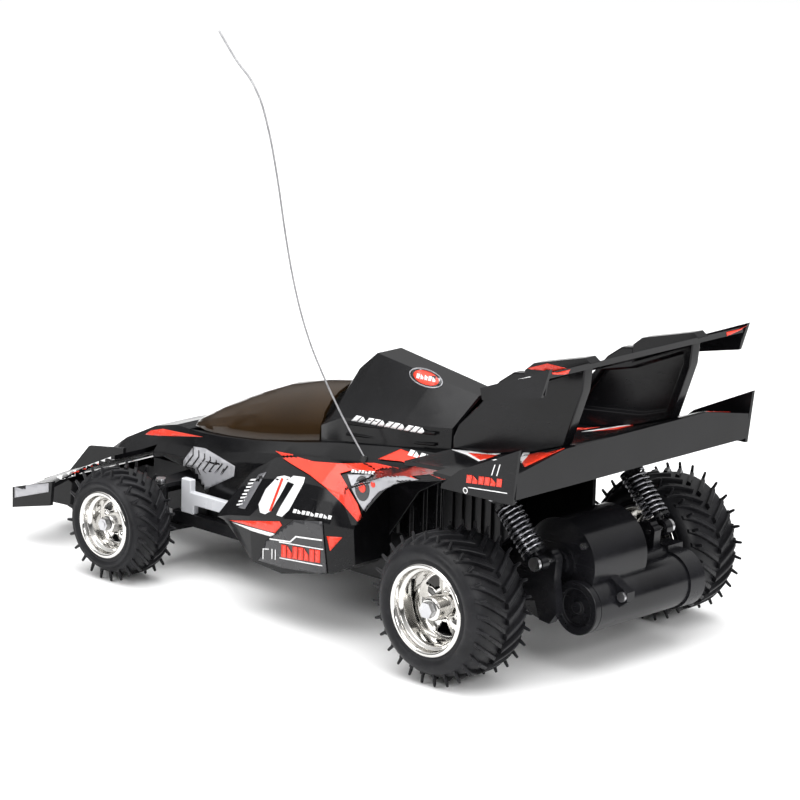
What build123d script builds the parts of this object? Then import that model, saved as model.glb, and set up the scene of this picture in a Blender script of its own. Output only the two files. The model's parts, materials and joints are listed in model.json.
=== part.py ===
from build123d import *
import os
from math import acos, atan2, cos, degrees, pi, radians, sin, sqrt, tan

# Remote control car: a stadium-truck style toy buggy with a racing body. Millimetres, +X forward,
# +Y to the car's left, +Z up, origin on the ground under the middle of the car.
# Side views are given as (distance ahead of the rear axle, height above the ground).

# ------------------------------------------------------------------ driving dimensions
WHEELBASE = 291.0
REAR_X = -174.0               # X of the rear axle
FRONT = WHEELBASE             # front axle, as a distance ahead of the rear axle
TRACK_OUT_REAR = 124.0        # outer face of the rear tyres, from the middle
TRACK_OUT_FRONT = 118.0
REAR_STUD_R, REAR_TYRE_R, REAR_TYRE_W, REAR_RIM_R = 48.0, 42.5, 49.0, 27.0
FRONT_STUD_R, FRONT_TYRE_R, FRONT_TYRE_W, FRONT_RIM_R = 38.0, 33.5, 35.0, 20.5

AXLE_R = 3.0                  # rear axle
STUB_R = 2.25                 # front stub axles
RUN = 0.05                    # radial running clearance
SKIN = 2.0                    # wall of the body mouldings

TUB_Y, TUB_FLOOR, TUB_TOP, TUB_WALL = 40.0, 26.0, 58.0, 2.5
SKIDS, SKID_HALF, SKID_LOW = ((66, 90), (251, 276)), 20.0, 20.4
TUB_REAR, TUB_STEP, TUB_NOSE, NOSE_Y = 62.0, 255.0, 338.0, 28.0
POCKET = (100.0, 215.0, 35.0, 47.5)   # battery pocket: rear, front, half width, height of its roof

KINGPIN_Y, KINGPIN_R = 66.0, 2.0
STEER_ARM = 18.0              # tie rod pin, ahead of the kingpin
RACK_PITCH_R = 5.0            # pitch radius of the steering gear
RACK_MODULE = 1.0

PIVOT = (52.0, 46.0)          # swing pivot of the gearbox
PIVOT_R = 2.5
AXLE = (0.0, REAR_STUD_R)
GEAR_MODULE = 1.0
PINION_TEETH, BIG_TEETH, SMALL_TEETH, AXLE_TEETH = 12, 48, 14, 49
IDLER_TILT = radians(145.3)   # direction of the idler from the axle, seen from the right
MOTOR_TILT = radians(235.2)   # direction of the motor from the idler
MOTOR_R, SLEEVE_R = 15.0, 17.0
DRUM_R, CASE_R = 27.5, 28.0

SHOCK_Y = 58.0
SHOCK_TOP, SHOCK_LOW = (1.0, 108.5), (-33.0, 72.0)
SHOCK_PIN_R = 2.0
LUG = 2.9                     # thickness of the shock tower's lugs
SPRING_R, SPRING_WIRE_R, SPRING_TURNS = 7.2, 0.85, 9.5

ANTENNA_Y, ANTENNA_R = 54.0, 0.6


def gear_centre(start, tilt, teeth):
    """Centre of a gear that meshes with the one at start: teeth is the sum of both tooth counts."""
    reach = teeth * GEAR_MODULE / 2
    return start[0] + reach * cos(tilt), start[1] + reach * sin(tilt)


IDLER = gear_centre(AXLE, IDLER_TILT, SMALL_TEETH + AXLE_TEETH)
MOTOR = gear_centre(IDLER, MOTOR_TILT, PINION_TEETH + BIG_TEETH)


# ------------------------------------------------------------------ shape helpers
def ahead(distance):
    """X of a point at this distance ahead of the rear axle."""
    return REAR_X + distance


def side_plate(outline, y0, y1):
    """Plate with a side view outline, standing between two widths."""
    wire = Wire.make_polygon([Vector(ahead(d), y0, z) for d, z in outline])
    return Solid.extrude(Face(wire), Vector(0, y1 - y0, 0))


def plan_plate(outline, z0, z1):
    """Plate with a plan outline of (distance ahead, y) points, between two heights."""
    wire = Wire.make_polygon([Vector(ahead(d), y, z0) for d, y in outline])
    return Solid.extrude(Face(wire), Vector(0, 0, z1 - z0))


def block(d0, d1, y0, y1, z0, z1):
    """Box between two distances ahead, two widths and two heights."""
    return plan_plate([(d0, y0), (d1, y0), (d1, y1), (d0, y1)], z0, z1)


def cross_loft(sections):
    """Solid through cross sections, each a distance ahead and its (y, z) points."""
    wires = [Wire.make_polygon([Vector(ahead(d), y, z) for y, z in points]) for d, points in sections]
    return Solid.make_loft(wires, ruled=True)


def span_loft(sections):
    """Solid through side views, each a y and its (distance ahead, height) points."""
    wires = [Wire.make_polygon([Vector(ahead(d), y, z) for d, z in points]) for y, points in sections]
    return Solid.make_loft(wires, ruled=True)


def rod(start, end, radius):
    """Round bar between two points."""
    start, end = Vector(*start), Vector(*end)
    along = end - start
    bar = Cylinder(radius, along.length, align=(Align.CENTER, Align.CENTER, Align.MIN))
    return Plane(origin=start, z_dir=along) * bar


def lateral(place, radius, y0, y1):
    """Round bar across the car at a side view place."""
    d, z = place
    return rod((ahead(d), y0, z), (ahead(d), y1, z), radius)


def upright(d, y, radius, z0, z1):
    """Round bar standing at a plan place."""
    return rod((ahead(d), y, z0), (ahead(d), y, z1), radius)


def other_side(shape):
    """The same shape on the car's other side."""
    return shape.mirror(Plane.XZ)


def spin_profile(points):
    """Solid of revolution about the Y axis from (radius, y) points."""
    face = Face(Wire.make_polygon([Vector(r, y, 0) for r, y in points]))
    return Solid.revolve(face, 360, Axis.Y)


def at_wheel(shape, d, z):
    """A wheel part made round the Y axis, moved to its axle."""
    return Pos(ahead(d), 0, z) * shape


def hexagon(d, z, across, y0, y1):
    """Hexagonal bar across the car."""
    corner = across / sqrt(3)
    points = [(d + corner * cos(k * pi / 3), z + corner * sin(k * pi / 3)) for k in range(6)]
    return side_plate(points, y0, y1)


# ------------------------------------------------------------------ gears
def involute_gear(teeth, module, phase, backlash=0.12):
    """Outline of a spur gear as (x, z) points, with one tooth centred on the angle phase."""
    pitch = teeth * module / 2
    base = pitch * cos(radians(20))
    tip = pitch + 0.8 * module
    root = pitch - 1.1 * module

    def involute(radius):
        pressure = acos(min(1.0, base / radius))
        return tan(pressure) - pressure

    half = pi / (2 * teeth) - backlash / pitch + involute(pitch)
    radii = [max(base, root) + (tip - max(base, root)) * k / 4 for k in range(5)]
    flank = [(root, half - involute(radii[0]))] + [(r, half - involute(r)) for r in radii]
    points = []
    for tooth in range(teeth):
        middle = phase + 2 * pi * tooth / teeth
        points += [(r, middle - a) for r, a in flank]
        points += [(r, middle + a) for r, a in reversed(flank)]
    return [(r * cos(a), r * sin(a)) for r, a in points]


def spur_gear(place, teeth, phase, y0, y1):
    """Gear across the car at a side view place."""
    outline = involute_gear(teeth, GEAR_MODULE, phase)
    return side_plate([(place[0] + x, place[1] + z) for x, z in outline], y0, y1)


def facing(start, end):
    """Side view angle from one place to another."""
    return atan2(end[1] - start[1], end[0] - start[0])


# ------------------------------------------------------------------ wheels
def tyre(radius, stud_radius, rim_radius, width, lugs):
    """Hollow rubber tyre about the Y axis, from y = 0 (inner face) to width, with paddles and studs."""
    wall = 3.0
    outside = [(rim_radius, 3.2), (rim_radius + 2, 3.2), (rim_radius + 3, 0.8), (radius - 9, 0),
               (radius - 3, 3.5), (radius, 10)]
    outside += [(r, width - y) for r, y in reversed(outside)]
    inside = [(radius - wall, width - 10), (radius - 6, width - 6), (radius - 10, width - wall),
              (rim_radius + 4, width - wall - 1), (rim_radius + 4, width - wall - 4),
              (rim_radius, width - wall - 4)]
    inside += [(r, width - y) for r, y in reversed(inside)]
    carcass = spin_profile(outside + inside)
    step = 360 / lugs
    length = width / 2 + 2
    paddle = Box(4.2, length, 4.0)
    stud = Cylinder(1.15, stud_radius - radius + 1.5, align=(Align.CENTER, Align.CENTER, Align.MAX))
    parts = []
    for k in range(lugs):
        for side in (-1, 1):
            turn = Rot(0, k * step + (step / 4 if side > 0 else -step / 4), 0)
            lean = Rot(0, 0, -side * 26)
            paddle_y = width / 2 + side * width / 4
            parts.append(turn * Pos(0, paddle_y, radius - 0.4) * lean * paddle)
            parts.append(turn * Pos(side * 1.5, width / 2 + side * width * 0.27, stud_radius) * stud)
    sides = spin_profile([(rim_radius + 6, 1.5), (radius + 5, 1.5), (radius + 5, width - 1.5),
                          (rim_radius + 6, width - 1.5)])
    tread = [piece & sides for piece in parts[0::2]]
    return carcass.fuse(*tread, *parts[1::2])


def rim(rim_radius, width, bore, hub_radius, disc_y, windows):
    """Deep chrome rim about the Y axis, from y = 2 to width, with windows in its disc."""
    lip = rim_radius + 1.8
    end = width - 1.0
    barrel = [(rim_radius, 3), (lip, 3), (lip, 0.6), (rim_radius - 1.8, 0.6), (rim_radius - 1.8, disc_y - 1.5),
              (bore, disc_y - 1.5), (bore, end - 4), (hub_radius, end - 4), (hub_radius, disc_y + 5),
              (hub_radius + 2.5, disc_y + 1.5), (rim_radius - 4.5, disc_y + 1.5),
              (rim_radius - 3, disc_y + 6), (rim_radius - 1.8, end), (lip, end), (lip, width - 3),
              (rim_radius, width - 3)]
    body = spin_profile(barrel)
    inner, outer = hub_radius + 3.2, rim_radius - 5.2
    gaps = []
    corners = [(inner, -0.10), (outer, -0.42), (outer, 0.42), (inner, 0.10)]
    for k in range(windows):
        turn = 2 * pi * k / windows
        points = [Vector(r * cos(turn + a), disc_y - 3, r * sin(turn + a)) for r, a in corners]
        gaps.append(Solid.extrude(Face(Wire.make_polygon(points)), Vector(0, 7, 0)))
    return body.cut(*gaps)


def rear_wheel():
    """Left rear tyre, rim and nut."""
    start = TRACK_OUT_REAR - REAR_TYRE_W
    lift = Pos(0, start, 0)
    rubber = tyre(REAR_TYRE_R, REAR_STUD_R, REAR_RIM_R, REAR_TYRE_W, 18)
    chrome = rim(REAR_RIM_R, REAR_TYRE_W, AXLE_R, 7.0, 26.0, 5)
    nut = hexagon(0, REAR_STUD_R, 9.0, start + REAR_TYRE_W - 5, start + REAR_TYRE_W - 1.2)
    nut -= lateral(AXLE, AXLE_R, start, start + REAR_TYRE_W)
    return at_wheel(lift * rubber, 0, REAR_STUD_R), at_wheel(lift * chrome, 0, REAR_STUD_R), nut


def front_wheel():
    """Left front tyre, rim and nut; the nut is screwed to the stub axle, clear of the rim."""
    start = TRACK_OUT_FRONT - FRONT_TYRE_W
    lift = Pos(0, start, 0)
    rubber = tyre(FRONT_TYRE_R, FRONT_STUD_R, FRONT_RIM_R, FRONT_TYRE_W, 15)
    chrome = rim(FRONT_RIM_R, FRONT_TYRE_W, STUB_R + RUN, 5.5, 19.0, 5)
    nut = hexagon(FRONT, FRONT_STUD_R, 7.5, start + FRONT_TYRE_W - 4.6, start + FRONT_TYRE_W - 1.0)
    nut -= lateral((FRONT, FRONT_STUD_R), STUB_R, start, start + FRONT_TYRE_W)
    return at_wheel(lift * rubber, FRONT, FRONT_STUD_R), at_wheel(lift * chrome, FRONT, FRONT_STUD_R), nut


# ------------------------------------------------------------------ body mouldings
# Fuselage: distance ahead, half width, lower edge, shoulder, half width of the deck, deck height.
FUSELAGE = [(18, 58, 112, 121, 44, 126), (45, 60, 108, 117, 44, 122), (66, 60, 96, 112, 44, 118),
            (100, 60, 50, 107, 44, 115), (150, 60, 44, 100, 44, 108), (190, 58, 40, 94, 42, 100),
            (230, 50, 40, 86, 40, 93), (262, 46, 44, 78, 38, 89), (285, 44, 62, 76, 36, 87),
            (318, 38, 64, 73, 26, 84)]
NOSE = [(318, 38, 64, 73, 26, 84), (345, 34, 58, 68, 20, 77), (380, 28, 42, 52, 14, 61),
        (400, 22, 33, 41, 11, 48), (409, 16, 31, 35, 9, 39)]


def body_section(half, lower, shoulder, deck_half, deck, inset=0.0, drop=0.0):
    """Cross section of the fuselage; inset shrinks it and drop opens its underside."""
    w, low, high = half - inset, lower - drop, shoulder - inset
    dw, top = deck_half - inset / 2, deck - inset
    right = [(w, low), (w, high - 6), (w - 5, high), (dw, top)]
    return right + [(-y, z) for y, z in reversed(right)]


def body_loft(table, inset=0.0, drop=0.0, over=(0.0, 0.0)):
    """Loft through a table of sections; over lengthens it past its rear and front ends."""
    rows = [(row[0], body_section(*row[1:], inset=inset, drop=drop)) for row in table]
    if over[0]:
        rows.insert(0, (table[0][0] - over[0], rows[0][1]))
    if over[1]:
        rows.append((table[-1][0] + over[1], rows[-1][1]))
    return cross_loft(rows)


def fender():
    """Left rear fender over the wheel, with a skirt along its outer edge."""
    rows = [(100, 104.0, 97.5, 84), (66, 112.0, 111.5, 92), (40, 117.0, 118.0, 96), (14, 123.0, 125.0, 96)]
    cover = cross_loft([(d, [(56, z - 4), (56, z), (y, e), (y, e - 3)]) for d, z, e, y in rows])
    skirt = side_plate([(98, 97), (66, 110), (40, 117), (14, 124), (14, 120), (29, 116), (43, 113.5), (58, 108),
                        (71, 100.5), (80, 91), (85.5, 83), (88, 76), (98, 74)], 89, 92)
    return cover + skirt


def make_body_shell(fuselage):
    """Fuselage shell with its cockpit opening and both rear fenders."""
    hollow = body_loft(FUSELAGE, inset=SKIN, drop=12, over=(3, 3))
    cockpit = block(178, 300, -32, 32, 70, 130)
    fenders = fender() - fuselage
    shell = (fuselage - hollow) - cockpit
    return shell + fenders + other_side(fenders)


def make_nose_cowl(deck_cut):
    """Nose cowl: closed at its tip, trimmed along the top of the front wing."""
    solid = body_loft(NOSE)
    hollow = body_loft([(row[0] - 0.01, *row[1:]) for row in NOSE[:-1]], inset=SKIN, drop=12, over=(3, 0))
    return (solid - hollow) - deck_cut


CANOPY = [(314, 11, 85.5, 87), (304, 23, 85, 92), (285, 31, 87, 102), (257, 35, 89, 115),
          (230, 37, 92, 125.5), (202, 37, 97, 132), (177, 35, 102, 136)]


def arch(half, base, top, count=12):
    """Half ellipse over the deck as (y, z) points, from left to right."""
    return [(half * cos(pi * k / count), base + (top - base) * sin(pi * k / count) ** 0.8)
            for k in range(count + 1)]


def make_canopy(fuselage):
    """Smoked canopy bubble, open below and at the back."""
    outer = cross_loft([(d, arch(w, b - 3, t)) for d, w, b, t in CANOPY])
    inner_rows = [(d, arch(w - 1.8, b - 6, t - 1.8)) for d, w, b, t in CANOPY[1:]]
    inner_rows.append((CANOPY[-1][0] - 3, inner_rows[-1][1]))
    return outer - cross_loft(inner_rows) - fuselage


def make_cockpit_liner():
    """Dark tub under the canopy with a seat hump and a dash."""
    tub = block(180, 298, -30, 30, 62, 80) - block(183, 295, -27.5, 27.5, 64.5, 81)
    seat = side_plate([(186, 64.5), (186, 96), (196, 94), (210, 72), (232, 70), (232, 64.5)], -16, 16)
    dash = side_plate([(262, 64.5), (262, 80), (284, 82), (290, 64.5)], -24, 24)
    return tub + seat + dash


ENGINE = [(175, 35, 100, 35, 113, 9, 136), (166, 38, 101, 38, 117, 10, 148), (150, 41, 105, 41, 124, 11, 161),
          (100, 42, 112, 40, 129, 10, 154), (64, 34, 115, 33, 132, 9, 149)]


def engine_section(low_half, low, mid_half, mid, top_half, top, inset=0.0, drop=0.0):
    """Cross section of the engine cover."""
    right = [(low_half - inset, low - drop), (mid_half - inset, mid - inset / 2),
             (top_half - inset / 2, top - inset)]
    return right + [(-y, z) for y, z in reversed(right)]


def make_engine_cover(fuselage):
    """Tall engine cover behind the canopy, open below and at the back, with ribs along its sides."""
    outer = cross_loft([(row[0], engine_section(*row[1:])) for row in ENGINE])
    rows = [(row[0] - (2 if k == 0 else 0), engine_section(*row[1:], inset=SKIN, drop=8))
            for k, row in enumerate(ENGINE)]
    rows.append((ENGINE[-1][0] - 3, rows[-1][1]))
    shell = outer - cross_loft(rows) - fuselage
    for lift in (0, 7):
        rib = rod((ahead(146), 41.5, 121 - lift), (ahead(74), 37.5, 127.5 - lift), 1.0)
        rib -= outer
        shell += rib
        shell += other_side(rib)
    return shell


# Side pod: distance ahead, then (y, z) of its crown, its shoulder, its chine and its lower edge.
POD = [(205, 86, 61, 95, 61, 97, 58, 90, 54), (192, 80, 88, 92, 78, 99, 62, 94, 48),
       (172, 78, 100, 93, 89, 101, 66, 98, 36), (145, 77, 106, 94, 94, 102, 70, 99, 34),
       (118, 77, 108, 94, 95, 102, 74, 99, 40), (102, 76, 105, 92, 93, 100, 74, 97, 43),
       (90, 72, 98, 86, 86, 92, 72, 90, 50)]


def pod_section(d, row, inset=0.0):
    """Cross section of the left side pod, from its top inner edge round to its bottom."""
    y1, z1, y2, z2, y3, z3, y4, z4 = row
    inner = 58.5 if not inset else 50
    nose = d > 200
    top = (y1 - 8, z1) if nose else (inner, z1 - 3 - inset)
    low = (y4 - 8, z4) if nose else (inner, z4 + inset)
    return [top, (y1 - inset, z1 - inset), (y2 - inset, z2 - inset / 2), (y3 - inset, z3),
            (y4 - inset, z4 + inset), low]


def make_side_pod(fuselage, shell):
    """Left side pod: a bulged shell open towards the fuselage."""
    outer = cross_loft([(row[0], pod_section(row[0], row[1:])) for row in POD])
    rows = POD[1:-1] + [(POD[-1][0] + SKIN, *POD[-1][1:])]
    hollow = cross_loft([(row[0], pod_section(row[0], row[1:], SKIN)) for row in rows])
    return outer - hollow - fuselage - shell


# ------------------------------------------------------------------ wings
WING_DROP = 8.0               # the lower rear wing's ends are this much lower than its middle


def make_rear_wing(fuselage, shell):
    """Lower rear wing: a rising deck with a deep rear lip and an end plate each side."""
    profile = [(44, 127), (16, 129), (-20, 137), (-54, 149), (-57, 149), (-56, 125), (-53.6, 125),
               (-54, 145.5), (-20, 134.5), (16, 126.5), (44, 124.5)]

    def lowered(fall):
        return [(d, z - fall if d < 0 and z > 126 else z) for d, z in profile]

    span = span_loft([(-108, lowered(WING_DROP)), (-66, lowered(0)), (66, lowered(0)),
                      (108, lowered(WING_DROP))])
    span -= block(10, 50, 97, 120, 110, 140)
    span -= block(10, 50, -120, -97, 110, 140)
    end = side_plate([(2, 121), (1, 124), (-13, 135), (-59, 156), (-55, 122)], 107.5, 110)
    wing = span + end + other_side(end)
    return wing - fuselage - shell


def make_upper_wing():
    """Upper rear wing: a blade with a rear flap, end plates and a ridge over each tail fin."""
    blade = side_plate([(-14, 179.5), (-64, 200.5), (-61, 186), (-58.8, 186.5), (-61, 197), (-14, 177)], -91, 91)
    end = side_plate([(-12, 182), (-66, 203), (-60, 185), (-14, 175)], 90.5, 93)
    ridge = side_plate([(-13, 178), (-13, 187), (-20, 192.5), (-60, 203), (-64.5, 200), (-20, 181)], 45.5, 54.5)
    wing = blade + end + other_side(end)
    return wing + ridge + other_side(ridge)


def make_tail_fin(others):
    """Left tail fin between the two rear wings."""
    outline = [(44, 127), (44, 134), (40, 143), (24, 158), (8, 176), (-3, 183.5), (-13, 185), (-13, 176.5),
               (-59.5, 196.5), (-58, 182), (-45, 145.8), (-20, 137), (16, 129)]
    plate = side_plate(outline, 46, 54)
    pocket = side_plate([(34, 138), (12, 166), (-12, 172), (-52, 189), (-52, 182), (-40, 150), (-20, 144)],
                        46, 51)
    fin = plate - pocket
    for other in others:
        fin -= other
    return fin


DECK_REAR, DECK_FRONT = (342.0, 64.0), (412.0, 34.0)


def deck_top(d):
    """Height of the front wing's deck."""
    slope = (DECK_FRONT[1] - DECK_REAR[1]) / (DECK_FRONT[0] - DECK_REAR[0])
    return DECK_REAR[1] + slope * (d - DECK_REAR[0])


def make_front_wing():
    """Front wing: a deck that slopes down to the front, outer blades and end plates."""
    top = [(DECK_REAR[0], DECK_REAR[1]), (DECK_FRONT[0], DECK_FRONT[1])]
    under = [(DECK_FRONT[0], DECK_FRONT[1] - 3), (DECK_REAR[0], DECK_REAR[1] - 3)]
    wing = side_plate(top + under, -60, 60)
    blade = span_loft([(59, [(366, 53.7), (402, 38.3), (402, 35.3), (366, 50.7)]),
                       (93.5, [(366, 45.5), (402, 34), (402, 31), (366, 42.5)])])
    end = side_plate([(364, 48), (404, 36), (404, 22), (366, 31)], 93, 95.5)
    fence = side_plate([(402, deck_top(402) - 1), (380, 61), (346, 66), (346, deck_top(346) - 1)], 46, 48.5)
    for piece in (blade, end, fence):
        wing += piece
        wing += other_side(piece)
    return wing


def make_front_bumper():
    """Bumper: a tongue bolted to the chassis nose and a wide bar under the wing's front edge."""
    tongue = side_plate([(338.3, 27), (338.3, 50), (350, 50), (390, 32), (390, 20), (360, 22)], -24, 24)
    bar = side_plate([(388, 19), (386, 36), (392, 38.5), (409, 31), (411, 22), (406, 18)], -58, 58)
    return tongue + bar


# ------------------------------------------------------------------ chassis
def make_chassis_tub():
    """Chassis: tub with a battery pocket and skids below, ribbed rear walls, and the shock tower."""
    tub = block(TUB_REAR, TUB_STEP, -TUB_Y, TUB_Y, TUB_FLOOR, TUB_TOP)
    tub += block(TUB_STEP, TUB_NOSE, -NOSE_Y, NOSE_Y, TUB_FLOOR, TUB_TOP)
    inside = TUB_Y - TUB_WALL
    floor = TUB_FLOOR + TUB_WALL
    rear, front, half, roof = POCKET
    tub -= block(TUB_REAR + TUB_WALL, rear - TUB_WALL, -inside, inside, floor, TUB_TOP + 1)
    tub -= block(rear - TUB_WALL, front + TUB_WALL, -inside, inside, roof + TUB_WALL, TUB_TOP + 1)
    tub -= block(front + TUB_WALL, TUB_STEP - TUB_WALL, -inside, inside, floor, TUB_TOP + 1)
    nose = NOSE_Y - TUB_WALL
    tub -= block(TUB_STEP - TUB_WALL - 1, TUB_NOSE - TUB_WALL, -nose, nose, floor, TUB_TOP + 1)
    tub -= block(rear, front, -half, half, TUB_FLOOR - 1, roof)
    rod_d = FRONT + STEER_ARM
    tub -= block(rod_d - 6, rod_d + 6, -NOSE_Y - 1, NOSE_Y + 1, 41.5, 48.5)
    tub -= block(229, 243, -3.4, 3.4, TUB_FLOOR - 1, floor + 1)
    tub += make_rear_frame()
    for y in (31.0, -34.0):
        ear = block(217, 223, y, y + 3, 21, TUB_FLOOR)
        tub += ear - lateral((220, 23.4), 1.25, y - 1, y + 4)
    for rear_end, front_end in SKIDS:
        tub += block(rear_end, front_end, -SKID_HALF, SKID_HALF, SKID_LOW, TUB_FLOOR)
    return tub


def make_rear_frame():
    """Side walls beside the gearbox, pivot ears, and the tower that carries the shocks."""
    wall = side_plate([(63, 30), (63, 106), (40, 110), (8, 113), (8, 76), (20, 66), (40, 34)], 37, 40)
    for d in range(14, 62, 8):
        low = 64 if d < 24 else 60 - (d - 24) * 1.1
        wall += block(d, d + 3, 40, 42, max(low, 34), 105)
    ear = side_plate([(63, 34), (63, 56), (56, 56), (47, 52), (45, 46), (47, 40), (56, 34)], 30.2, 37)
    ear += wall
    ear -= lateral(PIVOT, PIVOT_R, 20, 45)
    frame = ear + other_side(ear)
    frame += block(8, 17.7, -SHOCK_Y - 7, SHOCK_Y + 7, 108, 116)
    for y in (SHOCK_Y - 3.3 - LUG, SHOCK_Y + 3.3):
        lug = side_plate([(9, 116), (-1, 114.5), (-5, 110), (-4, 105), (1, 103), (9, 108)], y, y + LUG)
        lug -= lateral(SHOCK_TOP, SHOCK_PIN_R, y - 1, y + 4)
        frame += lug
        frame += other_side(lug)
    return frame


def make_battery_cells():
    """Six separate cells side by side, each with its positive nub."""
    cells = []
    for k in range(6):
        place = (115 + k * 15.0, 34.2)
        cells.append(lateral(place, 7.1, -24.5, 24) + lateral(place, 2.6, 24, 25.2))
    return cells


def make_battery_door():
    """Battery door with two hinge barrels at its front edge and a finger ridge at its rear."""
    plate = block(97, 215.8, -37, 37, 23.6, 25.7)
    for y in (-30.0, 18.0):
        plate += lateral((220, 23.4), 2.0, y, y + 12)
        plate += block(212, 220, y, y + 12, 23.6, 25.2)
    plate += lateral((220, 23.4), 1.2, 30, 34)
    plate += lateral((220, 23.4), 1.2, -34, -30)
    plate += block(101, 103, -10, 10, 22.4, 23.6)
    return plate + block(106, 108, -10, 10, 22.4, 23.6)


def make_power_switch():
    """Power switch slider: knob below the floor, neck through the slot, foot above it."""
    knob = block(230, 238, -2.9, 2.9, 23.8, 30.0)
    return knob + block(229.5, 238.5, -5, 5, 28.9, 30.0)


def make_circuit_board():
    """Circuit board over the battery pocket with its larger components."""
    board = block(108, 208, -30, 30, 50.0, 51.6)
    for d, y, length, width, height in ((120, -20, 22, 10, 3), (120, 8, 10, 10, 5), (150, -24, 14, 14, 2.5),
                                        (150, 2, 18, 18, 3), (182, -22, 12, 8, 4), (182, 6, 16, 12, 5)):
        board += block(d, d + length, y, y + width, 51.6, 51.6 + height)
    return board


# ------------------------------------------------------------------ front suspension and steering
def make_suspension_beam():
    """Front suspension: upper and lower arms each side with a rail back to the side pod."""
    lower = plan_plate([(279, 28), (303, 28), (298, 72), (284, 72)], 25, 29)
    upper = plan_plate([(281, 28), (301, 28), (297, 72), (285, 72)], 55, 57.8)
    web = block(284, 298, 28, 31, 29, 55)
    rail = block(206.5, 288, 52, 58, 30, 38) + block(284, 290, 52, 58, 28, 31)
    arm = lower + upper + web + rail
    arm -= upright(FRONT, KINGPIN_Y, KINGPIN_R, 20, 62)
    return arm


def make_radius_arm():
    """Left trailing arm: a bar back to the side pod with a post and a foot at its front."""
    bar = side_plate([(206.5, 45), (206.5, 53), (240, 53), (271, 53), (271, 61), (280, 61), (280, 41), (268, 41),
                      (268, 44.5)], 53, 58)
    return bar + block(268, 280, 53, 58, 38, 41.5)


def make_knuckle():
    """Left steering knuckle: kingpin barrel, axle block and steering arm with its pin."""
    knuckle = upright(FRONT, KINGPIN_Y, 5, 29.5, 54.5)
    knuckle += block(FRONT - 5, FRONT + 5, KINGPIN_Y, 77, 33, 43)
    knuckle += block(FRONT, FRONT + STEER_ARM + 3, KINGPIN_Y - 3, KINGPIN_Y + 3, 34, 39.5)
    knuckle -= upright(FRONT, KINGPIN_Y, KINGPIN_R + RUN, 20, 62)
    knuckle += upright(FRONT + STEER_ARM, KINGPIN_Y, 1.5, 39, 48.5)
    return knuckle - lateral((FRONT, FRONT_STUD_R), STUB_R, 71.5, 80)


def make_stub_axle():
    """Left front stub axle, pressed into the knuckle."""
    return lateral((FRONT, FRONT_STUD_R), STUB_R, 71.5, TRACK_OUT_FRONT - 0.6)


def make_kingpins():
    """Both kingpins with their heads, two separate solids."""
    pin = upright(FRONT, KINGPIN_Y, KINGPIN_R, 24.6, 57.8) + upright(FRONT, KINGPIN_Y, 3.6, 57.8, 60)
    return [pin, other_side(pin)]


def make_tie_rod():
    """Tie rod with slotted ends and a rack on its rear edge that the steering gear drives."""
    middle = FRONT + STEER_ARM
    bar = block(middle - 2.2, middle + 3, -KINGPIN_Y, KINGPIN_Y, 43, 47)
    for side in (-1, 1):
        bar += upright(middle, side * KINGPIN_Y, 5.0, 43, 47)
    pitch = pi * RACK_MODULE
    foot, crest = middle - 2.2, middle - 2.2 - 1.9 * RACK_MODULE
    for k in range(-5, 5):
        y = (k + 0.5) * pitch
        wide, thin = 0.92, 0.28
        bar += plan_plate([(foot + 0.5, y - wide - 0.1), (foot, y - wide), (crest, y - thin),
                           (crest, y + thin), (foot, y + wide), (foot + 0.5, y + wide + 0.1)], 43, 47)
    for side in (-1, 1):
        bar -= block(middle - 2.6, middle + 2.6, side * KINGPIN_Y - 1.85, side * KINGPIN_Y + 1.85, 42, 48)
    return bar


GEAR_D = FRONT + STEER_ARM - 2.2 - 0.9 - RACK_PITCH_R   # steering gear's centre


def make_steering_gear():
    """Steering gear on the motor's shaft, with one tooth facing forward into the rack."""
    outline = involute_gear(10, RACK_MODULE, 0, backlash=0.2)
    gear = plan_plate([(GEAR_D + x, y) for x, y in outline], 43, 47)
    return gear + upright(GEAR_D, 0, 1.5, 38, 49)


def make_steering_motor():
    """Steering motor standing under its gear."""
    can = upright(GEAR_D, 0, 9, TUB_FLOOR + TUB_WALL, 40) + upright(GEAR_D, 0, 3.5, 40, 42)
    can += block(GEAR_D - 14, GEAR_D + 4, -13, 13, 29.5, 33)
    return can - upright(GEAR_D, 0, 1.5 + RUN, 37.7, 43)


# ------------------------------------------------------------------ rear gearbox
DRUM_LEFT, DRUM_RIGHT = 31.0, -18.0
CASE_LEFT, CASE_RIGHT = 16.0, -6.0
SLEEVE_RIGHT = -66.0
ARM_Y0, ARM_Y1 = 43.0, 49.2


def swing_arm():
    """Left arm plate from the axle tube to the lower shock pin, with a tail below."""
    plate = side_plate([(7, 46), (6, 54), (-26, 77), (-34, 78), (-38, 73), (-37, 60), (-40, 40), (-34, 32),
                        (-26, 33), (-22, 44), (-6, 41)], ARM_Y0, ARM_Y1)
    plate += lateral(SHOCK_LOW, 5, ARM_Y0, ARM_Y1)
    return plate + lateral(AXLE, 9, ARM_Y0, ARM_Y1 + 1)


def pivot_arm():
    """Left arm from the axle case forward to the swing pivot."""
    arm = side_plate([(18, 70), (48, 52), (56, 50), (56, 42), (48, 40), (18, 27)], 3, 13)
    return arm + lateral(PIVOT, 6, 0, 29.7)


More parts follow.
